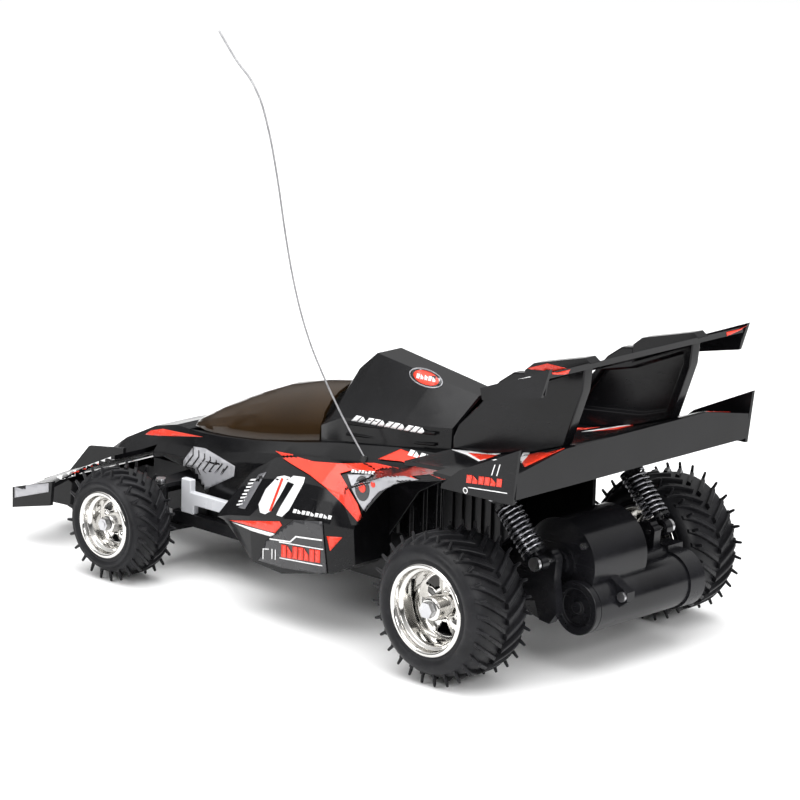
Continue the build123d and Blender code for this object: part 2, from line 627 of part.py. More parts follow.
def make_gearbox_left():
    """Left half of the gearbox: drum over the idler, axle case, motor sleeve, axle tube and arms."""
    outer = lateral(IDLER, DRUM_R, 0, DRUM_LEFT) + lateral(AXLE, CASE_R, 0, CASE_LEFT)
    outer += lateral(MOTOR, SLEEVE_R, 0, DRUM_LEFT)
    outer += lateral(AXLE, 5.6, 0, ARM_Y1)
    outer += swing_arm()
    outer += pivot_arm()
    outer += side_plate([(-50, 60), (-60, 54.5), (-66, 51.5), (-66, 45.5), (-61, 42), (-55, 36)], 8, 15)
    outer += lateral(IDLER, 8, DRUM_LEFT, DRUM_LEFT + 3.5) + lateral(IDLER, 12, DRUM_LEFT, DRUM_LEFT + 1.5)
    outer -= lateral(IDLER, 25.8, -1, DRUM_LEFT - 1.6)
    outer -= lateral(AXLE, 26.5, -1, CASE_LEFT - 1.6)
    outer -= lateral(MOTOR, 15.2, -1, DRUM_LEFT + 1)
    outer += lateral(IDLER, 5, DRUM_LEFT - 3.2, DRUM_LEFT)
    return finish_gearbox(outer)


def make_gearbox_right():
    """Right half of the gearbox: shorter drum, long motor sleeve, tube, rear lug and arms."""
    outer = lateral(IDLER, DRUM_R, DRUM_RIGHT, 0) + lateral(AXLE, CASE_R, CASE_RIGHT, 0)
    outer += lateral(MOTOR, SLEEVE_R, SLEEVE_RIGHT, 0)
    outer += lateral(MOTOR, SLEEVE_R + 1.2, SLEEVE_RIGHT, SLEEVE_RIGHT + 14)
    outer += lateral(AXLE, 5.6, -ARM_Y1, 0)
    outer += lateral((-36, 56), 6, SLEEVE_RIGHT, DRUM_RIGHT + 1)
    outer += block(-42, -29, SLEEVE_RIGHT, -52, 50, 63)
    outer += other_side(swing_arm())
    outer += other_side(pivot_arm())
    outer -= lateral(IDLER, 25.8, DRUM_RIGHT + 1.6, 1)
    outer -= lateral(AXLE, 26.5, CASE_RIGHT + 1.6, 1)
    outer -= lateral(MOTOR, 15.2, SLEEVE_RIGHT + 2, 1)
    outer += lateral(IDLER, 5, DRUM_RIGHT, DRUM_RIGHT + 3.2)
    return finish_gearbox(outer)


def finish_gearbox(outer):
    """Bores for the axle, the idler, the swing pin and the lower shock pins."""
    outer -= lateral(AXLE, AXLE_R + RUN, -60, 60)
    outer -= lateral(IDLER, 2.0 + RUN, -40, 40)
    outer -= lateral(PIVOT, PIVOT_R + RUN, -40, 40)
    outer -= lateral(SHOCK_LOW, SHOCK_PIN_R, ARM_Y0 - 1, ARM_Y1 + 1)
    return outer - lateral(SHOCK_LOW, SHOCK_PIN_R, -ARM_Y1 - 1, -ARM_Y0 + 1)


def make_motor_end_cap():
    """Round cap that closes the motor sleeve on the left."""
    cap = lateral(MOTOR, SLEEVE_R, DRUM_LEFT, DRUM_LEFT + 5)
    return cap - lateral(MOTOR, 12, DRUM_LEFT + 2, DRUM_LEFT + 6) + lateral(MOTOR, 4, DRUM_LEFT, DRUM_LEFT + 4)


def make_drive_motor():
    """Drive motor can with its front boss."""
    can = lateral(MOTOR, MOTOR_R, -62, -16) + lateral(MOTOR, 4, -16, -13)
    return can - lateral(MOTOR, 1.2 + RUN, -40, -12)


def make_motor_pinion():
    """Motor shaft with its pinion."""
    gear = spur_gear(MOTOR, PINION_TEETH, facing(MOTOR, IDLER), 19, 27)
    return gear + lateral(MOTOR, 1.2, -38, 28)


def make_idler_gear():
    """Compound idler: large gear driven by the pinion, small gear that drives the axle."""
    big = spur_gear(IDLER, BIG_TEETH, facing(IDLER, MOTOR) + pi / BIG_TEETH, 19, 27)
    small = spur_gear(IDLER, SMALL_TEETH, facing(IDLER, AXLE), 2, 19)
    return big + small + lateral(IDLER, 2.0, DRUM_RIGHT + 0.3, DRUM_LEFT - 0.3)


def make_axle_gear():
    """Gear pressed on the rear axle."""
    gear = spur_gear(AXLE, AXLE_TEETH, facing(AXLE, IDLER) + pi / AXLE_TEETH, 3, 11)
    return gear - lateral(AXLE, AXLE_R, 0, 20)


def make_rear_axle():
    """Steel rear axle through both wheels."""
    return lateral(AXLE, AXLE_R, -TRACK_OUT_REAR + 1.2, TRACK_OUT_REAR - 1.2)


def make_gearbox_screws():
    """Screws of the gearbox: one in the rear lug and two in the drum's left face."""
    screws = [lateral((-62.7, 48.6), 3.1, 15, 17)]
    for turn in (0.4, 2.5):
        d = IDLER[0] + 23 * cos(turn)
        z = IDLER[1] + 23 * sin(turn)
        screws.append(lateral((d, z), 2.2, DRUM_LEFT, DRUM_LEFT + 1.4))
    return screws


# ------------------------------------------------------------------ shocks
SHOCK_LENGTH = sqrt((SHOCK_TOP[0] - SHOCK_LOW[0]) ** 2 + (SHOCK_TOP[1] - SHOCK_LOW[1]) ** 2)
SEAT_TOP, SEAT_LOW = 10.0, SHOCK_LENGTH - 7.5     # where the spring's two seats are, down the shock


def down_shock(t):
    """Point on the left shock's axis at t millimetres below its top eye."""
    share = t / SHOCK_LENGTH
    d = SHOCK_TOP[0] + share * (SHOCK_LOW[0] - SHOCK_TOP[0])
    return ahead(d), SHOCK_Y, SHOCK_TOP[1] + share * (SHOCK_LOW[1] - SHOCK_TOP[1])


def make_shock_body():
    """Left shock body: top eye, spring seat and cylinder."""
    body = lateral(SHOCK_TOP, 4.6, SHOCK_Y - 2.9, SHOCK_Y + 2.9)
    body += rod(down_shock(3.5), down_shock(9), 2.8)
    body += rod(down_shock(SEAT_TOP - 1.8), down_shock(24), 5.0)
    body += rod(down_shock(SEAT_TOP - 1.8), down_shock(SEAT_TOP), 7.9)
    body -= rod(down_shock(10), down_shock(25), 2.0 + RUN)
    return body - lateral(SHOCK_TOP, SHOCK_PIN_R + RUN, SHOCK_Y - 5, SHOCK_Y + 5)


def make_shock_rod():
    """Left shock rod: piston rod, lower spring seat and lower eye, loose on its pin."""
    piece = rod(down_shock(20), down_shock(SHOCK_LENGTH - 3), 2.0)
    piece += rod(down_shock(SEAT_LOW), down_shock(SEAT_LOW + 1.8), 7.9)
    piece += rod(down_shock(SEAT_LOW + 1.8), down_shock(SHOCK_LENGTH - 3), 2.8)
    piece += lateral(SHOCK_LOW, 5.0, SHOCK_Y - 2.9, SHOCK_Y + 2.9)
    return piece - lateral(SHOCK_LOW, SHOCK_PIN_R + 0.9, SHOCK_Y - 5, SHOCK_Y + 5)


def make_spring():
    """Left coil spring between the two seats."""
    start, end = SEAT_TOP + SPRING_WIRE_R, SEAT_LOW - SPRING_WIRE_R
    height = end - start
    place = Plane(origin=down_shock(start), z_dir=Vector(*down_shock(end)) - Vector(*down_shock(start)))
    path = Helix(height / SPRING_TURNS, height, SPRING_R)
    section = Plane(origin=path @ 0, z_dir=path % 0) * Circle(SPRING_WIRE_R)
    return place * sweep(section, path)


def make_shock_pins():
    """Upper shock pins, one each side, through the tower's lugs."""
    inner, outer = SHOCK_Y - 3.3 - LUG, SHOCK_Y + 3.3 + LUG
    pin = lateral(SHOCK_TOP, SHOCK_PIN_R, inner, outer) + lateral(SHOCK_TOP, 3.6, outer, outer + 2)
    return [pin, other_side(pin)]


def make_lower_shock_pins():
    """Lower shock pins in the swing arms, with screw heads outside the rod's eye."""
    outer = SHOCK_Y + 3.6
    pin = lateral(SHOCK_LOW, SHOCK_PIN_R, ARM_Y0, outer) + lateral(SHOCK_LOW, 4.4, outer, outer + 2)
    return [pin, other_side(pin)]


# ------------------------------------------------------------------ antenna and body screws
ANTENNA_ROUTE = [(119, 107), (136, 126), (153, 148), (167, 169), (177, 190), (185, 213), (192, 240),
                 (198, 268), (205.5, 296), (214, 318), (224, 331.5), (236, 340), (246, 350.5), (253, 358)]


def make_antenna_wire():
    """Stiff spring-steel antenna wire: straight runs joined by tangent arcs."""
    points = [Vector(ahead(d), ANTENNA_Y, z) for d, z in ANTENNA_ROUTE]
    runs = [(b - a).length for a, b in zip(points, points[1:])]
    radii = []
    for k in range(1, len(points) - 1):
        turn = radians((points[k] - points[k - 1]).get_angle(points[k + 1] - points[k]))
        radii.append(0.45 * min(runs[k - 1], runs[k]) / tan(turn / 2))
    path = FilletPolyline(*points, radius=radii)
    print("antenna length", round(path.length, 1), "radii", [round(radius, 1) for radius in radii])
    section = Plane(origin=path @ 0, z_dir=path % 0) * Circle(ANTENNA_R)
    return sweep(section, path)


def make_antenna_base(fuselage, wire):
    """Rubber grommet at the foot of the antenna."""
    foot = Vector(ahead(ANTENNA_ROUTE[0][0]), ANTENNA_Y, ANTENNA_ROUTE[0][1])
    cone = Pos(foot.X, foot.Y, foot.Z - 3.5) * Cone(4.2, 2.0, 7)
    return cone - fuselage - wire


def make_body_screws():
    """Screw heads under the chassis floor."""
    spots = [(72, 33), (72, -33), (246, 33), (246, -33), (328, 20), (328, -20)]
    return [upright(d, y, 3.2, TUB_FLOOR - 1.6, TUB_FLOOR) for d, y in spots]


# ------------------------------------------------------------------ export
def solids_of(shape):
    """List of the solids in a shape or in a list of shapes."""
    if isinstance(shape, (list, tuple)):
        return [solid for one in shape for solid in solids_of(one)]
    return list(shape.solids())


def save(name, shape):
    """Write one node; several solids become one group."""
    solids = solids_of(shape)
    body = solids[0] if len(solids) == 1 else Compound(children=solids)
    export_step(body, f"parts/{name}.step")


def save_pair(name, shape):
    """Write a left node and its mirror image on the right."""
    save(f"{name}_left", shape)
    save(f"{name}_right", other_side(shape) if not isinstance(shape, list) else [other_side(s) for s in shape])


def main():
    os.makedirs("parts", exist_ok=True)
    fuselage = body_loft(FUSELAGE)
    shell = make_body_shell(fuselage)
    front_wing = make_front_wing()
    deck_cut = side_plate([(330, deck_top(330)), (430, deck_top(430)), (430, 0), (330, 0)], -70, 70)
    rear_wing = make_rear_wing(fuselage, shell)
    upper_wing = make_upper_wing()
    save("body_shell", shell)
    save("nose_cowl", make_nose_cowl(deck_cut))
    save("canopy", make_canopy(fuselage))
    save("cockpit_liner", make_cockpit_liner())
    save("engine_cover", make_engine_cover(fuselage))
    save_pair("side_pod", make_side_pod(fuselage, shell))
    save("rear_wing", rear_wing)
    save("upper_wing", upper_wing)
    save_pair("tail_fin", make_tail_fin([rear_wing, upper_wing, fuselage]))
    save("front_wing", front_wing)
    save("front_bumper", make_front_bumper())
    save("chassis_tub", make_chassis_tub())
    save("battery_cells", make_battery_cells())
    save("battery_door", make_battery_door())
    save("power_switch", make_power_switch())
    save("circuit_board", make_circuit_board())
    beam = make_suspension_beam()
    save("suspension_beam", [beam, other_side(beam)])
    arm = make_radius_arm() - fuselage
    save("radius_arms", [arm, other_side(arm)])
    save("kingpins", make_kingpins())
    save_pair("knuckle", make_knuckle())
    save_pair("stub_axle", make_stub_axle())
    save("tie_rod", make_tie_rod())
    save("steering_gear", make_steering_gear())
    save("steering_motor", make_steering_motor())
    tyre_shape, rim_shape, nut = front_wheel()
    save_pair("front_tyre", tyre_shape)
    save_pair("front_rim", rim_shape)
    save_pair("front_nut", nut)
    tyre_shape, rim_shape, nut = rear_wheel()
    save_pair("rear_tyre", tyre_shape)
    save_pair("rear_rim", rim_shape)
    save("rear_nuts", [nut, other_side(nut)])
    save("rear_axle", make_rear_axle())
    save("axle_gear", make_axle_gear())
    save("idler_gear", make_idler_gear())
    save("motor_pinion", make_motor_pinion())
    save("drive_motor", make_drive_motor())
    save("gearbox_left_half", make_gearbox_left())
    save("gearbox_right_half", make_gearbox_right())
    save("motor_end_cap", make_motor_end_cap())
    save("gearbox_screws", make_gearbox_screws())
    save("swing_pin", lateral(PIVOT, PIVOT_R, -41, 41))
    save_pair("shock_body", make_shock_body())
    save_pair("shock_rod", make_shock_rod())
    save_pair("shock_spring", make_spring())
    save("upper_shock_pins", make_shock_pins())
    save("lower_shock_pins", make_lower_shock_pins())
    antenna = make_antenna_wire()
    save("antenna_wire", antenna)
    save("antenna_base", make_antenna_base(fuselage, antenna))
    save("body_screws", make_body_screws())


main()
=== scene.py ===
import bmesh
import bpy
import json
from math import cos, pi, radians, sin
from mathutils import Matrix, Vector
from mathutils.bvhtree import BVHTree


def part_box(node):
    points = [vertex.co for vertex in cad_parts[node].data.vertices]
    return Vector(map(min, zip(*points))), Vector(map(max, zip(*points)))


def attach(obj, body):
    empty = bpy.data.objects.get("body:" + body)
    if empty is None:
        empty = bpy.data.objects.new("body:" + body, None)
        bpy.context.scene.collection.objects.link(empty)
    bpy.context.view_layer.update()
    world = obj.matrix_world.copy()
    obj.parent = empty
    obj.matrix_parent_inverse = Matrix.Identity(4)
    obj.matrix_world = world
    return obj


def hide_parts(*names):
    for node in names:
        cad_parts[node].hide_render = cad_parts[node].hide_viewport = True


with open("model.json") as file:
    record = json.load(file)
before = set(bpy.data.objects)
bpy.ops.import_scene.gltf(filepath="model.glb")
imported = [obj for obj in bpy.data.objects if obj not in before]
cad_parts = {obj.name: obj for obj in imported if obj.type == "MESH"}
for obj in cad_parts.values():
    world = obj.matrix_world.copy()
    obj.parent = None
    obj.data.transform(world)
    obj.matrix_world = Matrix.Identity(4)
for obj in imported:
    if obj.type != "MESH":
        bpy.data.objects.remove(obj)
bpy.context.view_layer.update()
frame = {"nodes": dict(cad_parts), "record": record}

MM = 0.001
REAR_AXLE_X = -0.174


def at(d, y, z):
    """Point given as mm ahead of the rear axle, to the left and above the ground."""
    return Vector((REAR_AXLE_X + d * MM, y * MM, z * MM))


# ------------------------------------------------------------------ camera, floor and lights
VIEW_AZ, VIEW_EL, VIEW_DIST, VIEW_ROLL = radians(223.18), radians(14.15), 2.5, radians(1.334)
TARGET = Vector((-0.0342, 0.0, 0.1303))
SENSOR_MM, LENS_MM, CLIP_END = 36.0, 176.88, 50.0
BACK = Vector((sin(VIEW_AZ) * cos(VIEW_EL), -cos(VIEW_AZ) * cos(VIEW_EL), sin(VIEW_EL)))
FLOOR_HALF, FLOOR_GREY, FLOOR_ROUGHNESS = 6.0, 0.93, 0.75
WORLD_HEIGHTS, WORLD_STRENGTHS = (0.10, 0.75), (0.10, 1.15)   # dimmer near the horizon
# name, place, aim, size and power of each studio light
LIGHTS = [
    ("top_light", (-0.2, 0.2, 2.0), (0, 0, 0.0), (2.2, 2.2), 46),
    ("rear_light", (-1.9, 0.3, 1.0), (-0.05, 0, 0.05), (0.9, 0.7), 16),
    ("side_light", (0.3, 2.0, 1.1), (0, 0, 0.05), (1.3, 0.6), 16),
]


def make_camera():
    """Camera behind the car's left rear corner, slightly rolled."""
    data = bpy.data.cameras.new("camera")
    data.sensor_width = SENSOR_MM
    data.lens = LENS_MM
    data.clip_end = CLIP_END
    camera = bpy.data.objects.new("camera", data)
    bpy.context.scene.collection.objects.link(camera)
    right = (-BACK).cross(Vector((0, 0, 1))).normalized()
    up = right.cross(-BACK)
    side = cos(VIEW_ROLL) * right + sin(VIEW_ROLL) * up
    top = cos(VIEW_ROLL) * up - sin(VIEW_ROLL) * right
    turn = Matrix((side, top, BACK)).transposed()
    camera.matrix_world = Matrix.Translation(TARGET + BACK * VIEW_DIST) @ turn.to_4x4()
    bpy.context.scene.camera = camera


def add_object(name, mesh):
    """New object in the scene for a mesh."""
    obj = bpy.data.objects.new(name, mesh)
    bpy.context.scene.collection.objects.link(obj)
    return obj


def make_floor():
    """Plain pale floor."""
    mesh = bpy.data.meshes.new("floor")
    r = FLOOR_HALF
    mesh.from_pydata([(-r, -r, 0), (r, -r, 0), (r, r, 0), (-r, r, 0)], [], [(0, 1, 2, 3)])
    floor = add_object("floor", mesh)
    material = bpy.data.materials.new("floor_paper")
    material.use_nodes = True
    shader = material.node_tree.nodes["Principled BSDF"]
    shader.inputs["Base Color"].default_value = (FLOOR_GREY, FLOOR_GREY, FLOOR_GREY, 1)
    shader.inputs["Roughness"].default_value = FLOOR_ROUGHNESS
    mesh.materials.append(material)


def area_light(name, place, aim, size, power):
    """Soft rectangular light that faces a point."""
    data = bpy.data.lights.new(name, "AREA")
    data.shape = "RECTANGLE"
    data.size, data.size_y = size
    data.energy = power
    lamp = bpy.data.objects.new(name, data)
    bpy.context.scene.collection.objects.link(lamp)
    lamp.location = place
    lamp.rotation_mode = "QUATERNION"
    lamp.rotation_quaternion = (Vector(aim) - Vector(place)).to_track_quat("-Z", "Y")


def make_lights():
    """White studio: surroundings brighter overhead, and the three lights."""
    world = bpy.data.worlds.new("studio")
    bpy.context.scene.world = world
    world.use_nodes = True
    background = world.node_tree.nodes["Background"]
    tree = world.node_tree
    height = tree.nodes.new("ShaderNodeSeparateXYZ")
    tree.links.new(tree.nodes.new("ShaderNodeTexCoord").outputs["Generated"], height.inputs["Vector"])
    grey = link_range(tree, height.outputs["Z"], *WORLD_HEIGHTS, *WORLD_STRENGTHS)
    tree.links.new(grey, background.inputs["Strength"])
    background.inputs["Color"].default_value = (1.0, 1.0, 1.0, 1)
    for light in LIGHTS:
        area_light(*light)
    bpy.context.scene.view_settings.view_transform = "Standard"


# ------------------------------------------------------------------ materials
def link_noise(tree, coords, scale, detail, stretch=(1, 1, 1), rough=0.55):
    """Noise texture over object coordinates."""
    nodes, links = tree.nodes, tree.links
    spread = nodes.new("ShaderNodeMapping")
    spread.inputs["Scale"].default_value = stretch
    links.new(coords, spread.inputs["Vector"])
    noise = nodes.new("ShaderNodeTexNoise")
    noise.inputs["Scale"].default_value = scale
    noise.inputs["Detail"].default_value = detail
    noise.inputs["Roughness"].default_value = rough
    links.new(spread.outputs["Vector"], noise.inputs["Vector"])
    return noise.outputs["Fac"]


def link_range(tree, value, low, high, to_low, to_high):
    """Map Range node with clamping."""
    node = tree.nodes.new("ShaderNodeMapRange")
    for socket, number in zip(("From Min", "From Max", "To Min", "To Max"), (low, high, to_low, to_high)):
        node.inputs[socket].default_value = number
    tree.links.new(value, node.inputs["Value"])
    return node.outputs["Result"]


def link_mix(tree, factor, first, second):
    """Colour mix of two colours or links."""
    node = tree.nodes.new("ShaderNodeMix")
    node.data_type = "RGBA"
    tree.links.new(factor, node.inputs["Factor"])
    for socket, colour in ((node.inputs[6], first), (node.inputs[7], second)):
        if isinstance(colour, bpy.types.NodeSocket):
            tree.links.new(colour, socket)
        else:
            socket.default_value = (*colour, 1)
    return node.outputs[2]


def surface(name, colour, second, rough, metal=0.0, patch=18.0, grain=900.0, bump=0.05, scratch=0.0,
            dust=None, stretch=(1, 1, 1), fixed=()):
    """Procedural material: blotched colour, grain in the bump, uneven gloss, scratches and dust."""
    material = bpy.data.materials.new(name)
    material.use_nodes = True
    tree = material.node_tree
    nodes, links = tree.nodes, tree.links
    shader = nodes["Principled BSDF"]
    coords = nodes.new("ShaderNodeTexCoord").outputs["Object"]
    blotch = link_noise(tree, coords, patch, 5.0, stretch)
    fine = link_noise(tree, coords, grain, 3.0, stretch)
    base = link_mix(tree, link_range(tree, blotch, 0.35, 0.65, 0, 1), colour, second)
    gloss = link_range(tree, blotch, 0.3, 0.7, rough[0], rough[1])
    if scratch:
        lines = link_noise(tree, coords, 60.0, 6.0, (1.0, 9.0, 14.0), 0.75)
        marks = link_range(tree, lines, 0.60, 0.68, 0, scratch)
        lighter = tuple(min(1.0, c + 0.10) for c in colour)
        base = link_mix(tree, marks, base, lighter)
        add = nodes.new("ShaderNodeMath")
        add.operation = "ADD"
        links.new(gloss, add.inputs[0])
        links.new(marks, add.inputs[1])
        gloss = add.outputs[0]
    if dust:
        specks = link_noise(tree, coords, 140.0, 8.0, (1, 1, 1), 0.7)
        cover = link_range(tree, specks, 0.52, 0.72, 0, dust[0])
        base = link_mix(tree, cover, base, dust[1])
    links.new(base, shader.inputs["Base Color"])
    links.new(gloss, shader.inputs["Roughness"])
    shader.inputs["Metallic"].default_value = metal
    raised = nodes.new("ShaderNodeBump")
    raised.inputs["Strength"].default_value = bump
    raised.inputs["Distance"].default_value = 0.0004
    links.new(fine, raised.inputs["Height"])
    links.new(raised.outputs["Normal"], shader.inputs["Normal"])
    for socket, number in fixed:
        shader.inputs[socket].default_value = number
    return material


LOOKS = {
    "gloss_black": surface("gloss_black", (0.003, 0.003, 0.0035), (0.006, 0.006, 0.007), (0.13, 0.22),
        patch=26, grain=500, bump=0.03, scratch=0.05, dust=(0.04, (0.06, 0.06, 0.06)),
        fixed=(("Specular IOR Level", 0.2),)),
    "chassis_black": surface("chassis_black", (0.004, 0.004, 0.005), (0.008, 0.008, 0.009), (0.28, 0.42),
        grain=1600, bump=0.12, scratch=0.06, dust=(0.08, (0.07, 0.07, 0.07)),
        fixed=(("Specular IOR Level", 0.2),)),
    "liner_grey": surface("liner_grey", (0.030, 0.028, 0.027), (0.05, 0.047, 0.044), (0.5, 0.65),
        grain=1500, bump=0.2),
    "arm_ice": surface("arm_ice", (0.62, 0.63, 0.66), (0.54, 0.55, 0.58), (0.25, 0.4), bump=0.05,
        scratch=0.05),
    "gearbox_grey": surface("gearbox_grey", (0.005, 0.005, 0.006), (0.010, 0.010, 0.012), (0.16, 0.28),
        grain=1100, bump=0.06, scratch=0.08, dust=(0.06, (0.07, 0.07, 0.07)),
        fixed=(("Specular IOR Level", 0.26),)),
    "rubber_black": surface("rubber_black", (0.006, 0.006, 0.007), (0.014, 0.014, 0.016), (0.34, 0.52),
        patch=40, grain=1500, bump=0.18, dust=(0.14, (0.07, 0.07, 0.07)),
        fixed=(("Specular IOR Level", 0.18),)),
    "chrome_plate": surface("chrome_plate", (0.70, 0.69, 0.67), (0.60, 0.59, 0.57), (0.05, 0.12), metal=1.0,
        patch=60, grain=300, bump=0.06),
    "steel": surface("steel", (0.55, 0.55, 0.56), (0.42, 0.42, 0.44), (0.22, 0.38), metal=1.0, grain=1200,
        bump=0.12, scratch=0.15),
    "motor_can": surface("motor_can", (0.50, 0.51, 0.53), (0.40, 0.41, 0.43), (0.22, 0.36), metal=1.0,
        stretch=(1, 12, 1), bump=0.1),
    "spring_steel": surface("spring_steel", (0.36, 0.36, 0.38), (0.20, 0.20, 0.22), (0.18, 0.32), metal=1.0,
        patch=120, bump=0.08),
    "gear_white": surface("gear_white", (0.74, 0.72, 0.66), (0.82, 0.80, 0.74), (0.35, 0.5), bump=0.05),
    "brass_pinion": surface("brass_pinion", (0.70, 0.50, 0.20), (0.55, 0.38, 0.15), (0.2, 0.35), metal=1.0),
    "cell_sleeve": surface("cell_sleeve", (0.05, 0.22, 0.11), (0.07, 0.28, 0.14), (0.25, 0.4)),
    "board_green": surface("board_green", (0.02, 0.13, 0.06), (0.03, 0.18, 0.08), (0.3, 0.5), patch=90,
        bump=0.3),
    "grommet_rubber": surface("grommet_rubber", (0.012, 0.012, 0.012), (0.02, 0.02, 0.02), (0.5, 0.65),
        bump=0.2),
    "antenna_bright": surface("antenna_bright", (0.30, 0.30, 0.31), (0.20, 0.20, 0.21), (0.3, 0.45),
        metal=0.5, patch=200, bump=0.1),
    "red_film": surface("red_film", (0.80, 0.045, 0.018), (0.70, 0.03, 0.012), (0.20, 0.32), patch=40,
        bump=0.04, scratch=0.05),
    "white_film": surface("white_film", (0.82, 0.82, 0.82), (0.74, 0.74, 0.75), (0.22, 0.34), patch=40,
        bump=0.04),
    "silver_film": surface("silver_film", (0.40, 0.40, 0.42), (0.33, 0.33, 0.35), (0.24, 0.36), metal=0.2,
        patch=40, bump=0.04),
    "grey_film": surface("grey_film", (0.028, 0.028, 0.031), (0.020, 0.020, 0.022), (0.22, 0.34), patch=40,
        bump=0.04),
    "strip_grey": surface("strip_grey", (0.13, 0.13, 0.14), (0.10, 0.10, 0.11), (0.28, 0.40), patch=40,
        bump=0.04),
    "black_film": surface("black_film", (0.006, 0.006, 0.006), (0.010, 0.010, 0.010), (0.22, 0.34),
        bump=0.04),
    # brown see-through plastic of the canopy, with faint mould marks
    "canopy_smoke": surface("canopy_smoke", (0.030, 0.016, 0.006), (0.018, 0.010, 0.004), (0.04, 0.10),
        patch=14, grain=80, bump=0.02, scratch=0.04,
        fixed=(("Alpha", 0.92), ("IOR", 1.48), ("Specular IOR Level", 0.35))),
}


# ------------------------------------------------------------------ moulded pieces from the CAD shapes
def tidy_copy(node):
    """Mesh of a CAD node in a new mesh, with its flat faces joined up."""
    mesh = bpy.data.meshes.new(node + "_moulded")
    work = bmesh.new()
    work.from_mesh(frame["nodes"][node].data)
    bmesh.ops.remove_doubles(work, verts=work.verts, dist=2e-6)
    bmesh.ops.dissolve_limit(work, angle_limit=radians(1.0), verts=work.verts, edges=work.edges)
    work.to_mesh(mesh)
    work.free()
    return mesh


def make_arch_skirts():
    """Ribbed black panel behind each rear wheel arch, between the chassis and the body."""
    for side, name in ((1, "arch_skirt_left"), (-1, "arch_skirt_right")):
        work = bmesh.new()
        rows = []
        for k in range(36):
            d = 63.5 + k * 1.9
            out = 41.6 if k % 6 in (2, 3) else 40.0
            rows.append([work.verts.new(at(d, side * y, z)) for y, z in
                         ((38.4, 58.5), (out, 58.5), (out, 82), (out - 0.2, 104), (38.4, 104))])
        for first, second in zip(rows, rows[1:]):
            for n in range(5):
                work.faces.new((first[n], first[(n + 1) % 5], second[(n + 1) % 5], second[n]))
        work.faces.new(rows[0])
        work.faces.new(rows[-1][::-1])
        bmesh.ops.recalc_face_normals(work, faces=work.faces[:])
        mesh = bpy.data.meshes.new(name)
        work.to_mesh(mesh)
        work.free()
        mesh.materials.append(LOOKS["gloss_black"])
        obj = add_object(name, mesh)
        bevel = obj.modifiers.new("edges", "BEVEL")
        bevel.width = 0.3 * MM
        bevel.segments = 2
        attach(obj, "car")


def trim_upper_wing(mesh):
    """Cut the deep rear flap off the upper wing's copy, between its end plates."""
    work = bmesh.new()
    profile = [(-12, 176.0), (-63.2, 197.6), (-63.2, 170), (-12, 170)]
    sides = [[work.verts.new(at(d, y, z)) for d, z in profile] for y in (-90.0, 90.0)]
    work.faces.new(sides[0])
    work.faces.new(sides[1][::-1])
    for k in range(4):
        n = (k + 1) % 4
        work.faces.new((sides[0][k], sides[1][k], sides[1][n], sides[0][n]))
    bmesh.ops.recalc_face_normals(work, faces=work.faces[:])
    block = bpy.data.meshes.new("cutter")
    work.to_mesh(block)
    work.free()
    cutter = add_object("cutter", block)
    target = add_object("target", mesh)
    cut = target.modifiers.new("cut", "BOOLEAN")
    cut.object = cutter
    cut.operation = "DIFFERENCE"
    cut.solver = "EXACT"
    shade = bpy.context.evaluated_depsgraph_get()
    result = bpy.data.meshes.new_from_object(target.evaluated_get(shade))
    for extra in (target, cutter):
        bpy.data.objects.remove(extra)
    return result


def moulded(node, body, look, width, segments=3, sharp=28):
    """Copy of a CAD node with rounded edges, as a moulding has."""
    mesh = tidy_copy(node)
    if node == "upper_wing":
        mesh = trim_upper_wing(mesh)
    obj = add_object(node + "_moulded", mesh)
    obj.data.materials.clear()
    obj.data.materials.append(LOOKS[look])
    for face in obj.data.polygons:
        face.use_smooth = True
    bevel = obj.modifiers.new("edges", "BEVEL")
    bevel.width = width * MM
    bevel.segments = segments
    bevel.limit_method = "ANGLE"
    bevel.angle_limit = radians(sharp)
    bevel.harden_normals = True
    obj.modifiers.new("shading", "WEIGHTED_NORMAL").keep_sharp = True
    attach(obj, body)
    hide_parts(node)
    return obj


def slot_of(node):
    """Material slot of a CAD node in the record."""
    for part in frame["record"]["subparts"]:
        if part["node"] == node:
            return part["material_slot"]
    return None


def body_of(node):
    """Name of the body that a CAD node belongs to."""
    for name, members in frame["record"]["behaviour"]["bodies"].items():
        if node in members:
            return name
    return None


# bevel width in mm of each moulding that gets a rounded copy
MOULDED = {"body_shell": 0.9, "nose_cowl": 1.4, "engine_cover": 3.0, "side_pod_left": 1.8,
        "side_pod_right": 1.8, "rear_wing": 0.6, "upper_wing": 0.6, "tail_fin_left": 1.0,
        "tail_fin_right": 1.0, "front_wing": 0.7, "front_bumper": 1.6, "chassis_tub": 0.5,
        "battery_door": 0.4, "suspension_beam": 0.6, "radius_arms": 0.9, "knuckle_left": 0.5,
        "knuckle_right": 0.5, "gearbox_left_half": 0.5, "gearbox_right_half": 0.5, "motor_end_cap": 0.7,
        "canopy": 0.6}
# nodes whose look isn't their slot's
LOOK_OF_NODE = {"antenna_wire": "antenna_bright", "shock_rod_left": "gearbox_grey",
        "shock_rod_right": "gearbox_grey"}


def finish_cad_nodes():
    """Give every CAD node its material; the visible mouldings get rounded copies."""
    pieces = {}
    for node, obj in frame["nodes"].items():
        look = LOOK_OF_NODE.get(node, slot_of(node))
        if node in MOULDED:
            pieces[node] = moulded(node, body_of(node), look, MOULDED[node])
            continue
        if not obj.material_slots:
            obj.data.materials.append(LOOKS[look])
        for slot in obj.material_slots:
            slot.material = LOOKS[look]
    return pieces


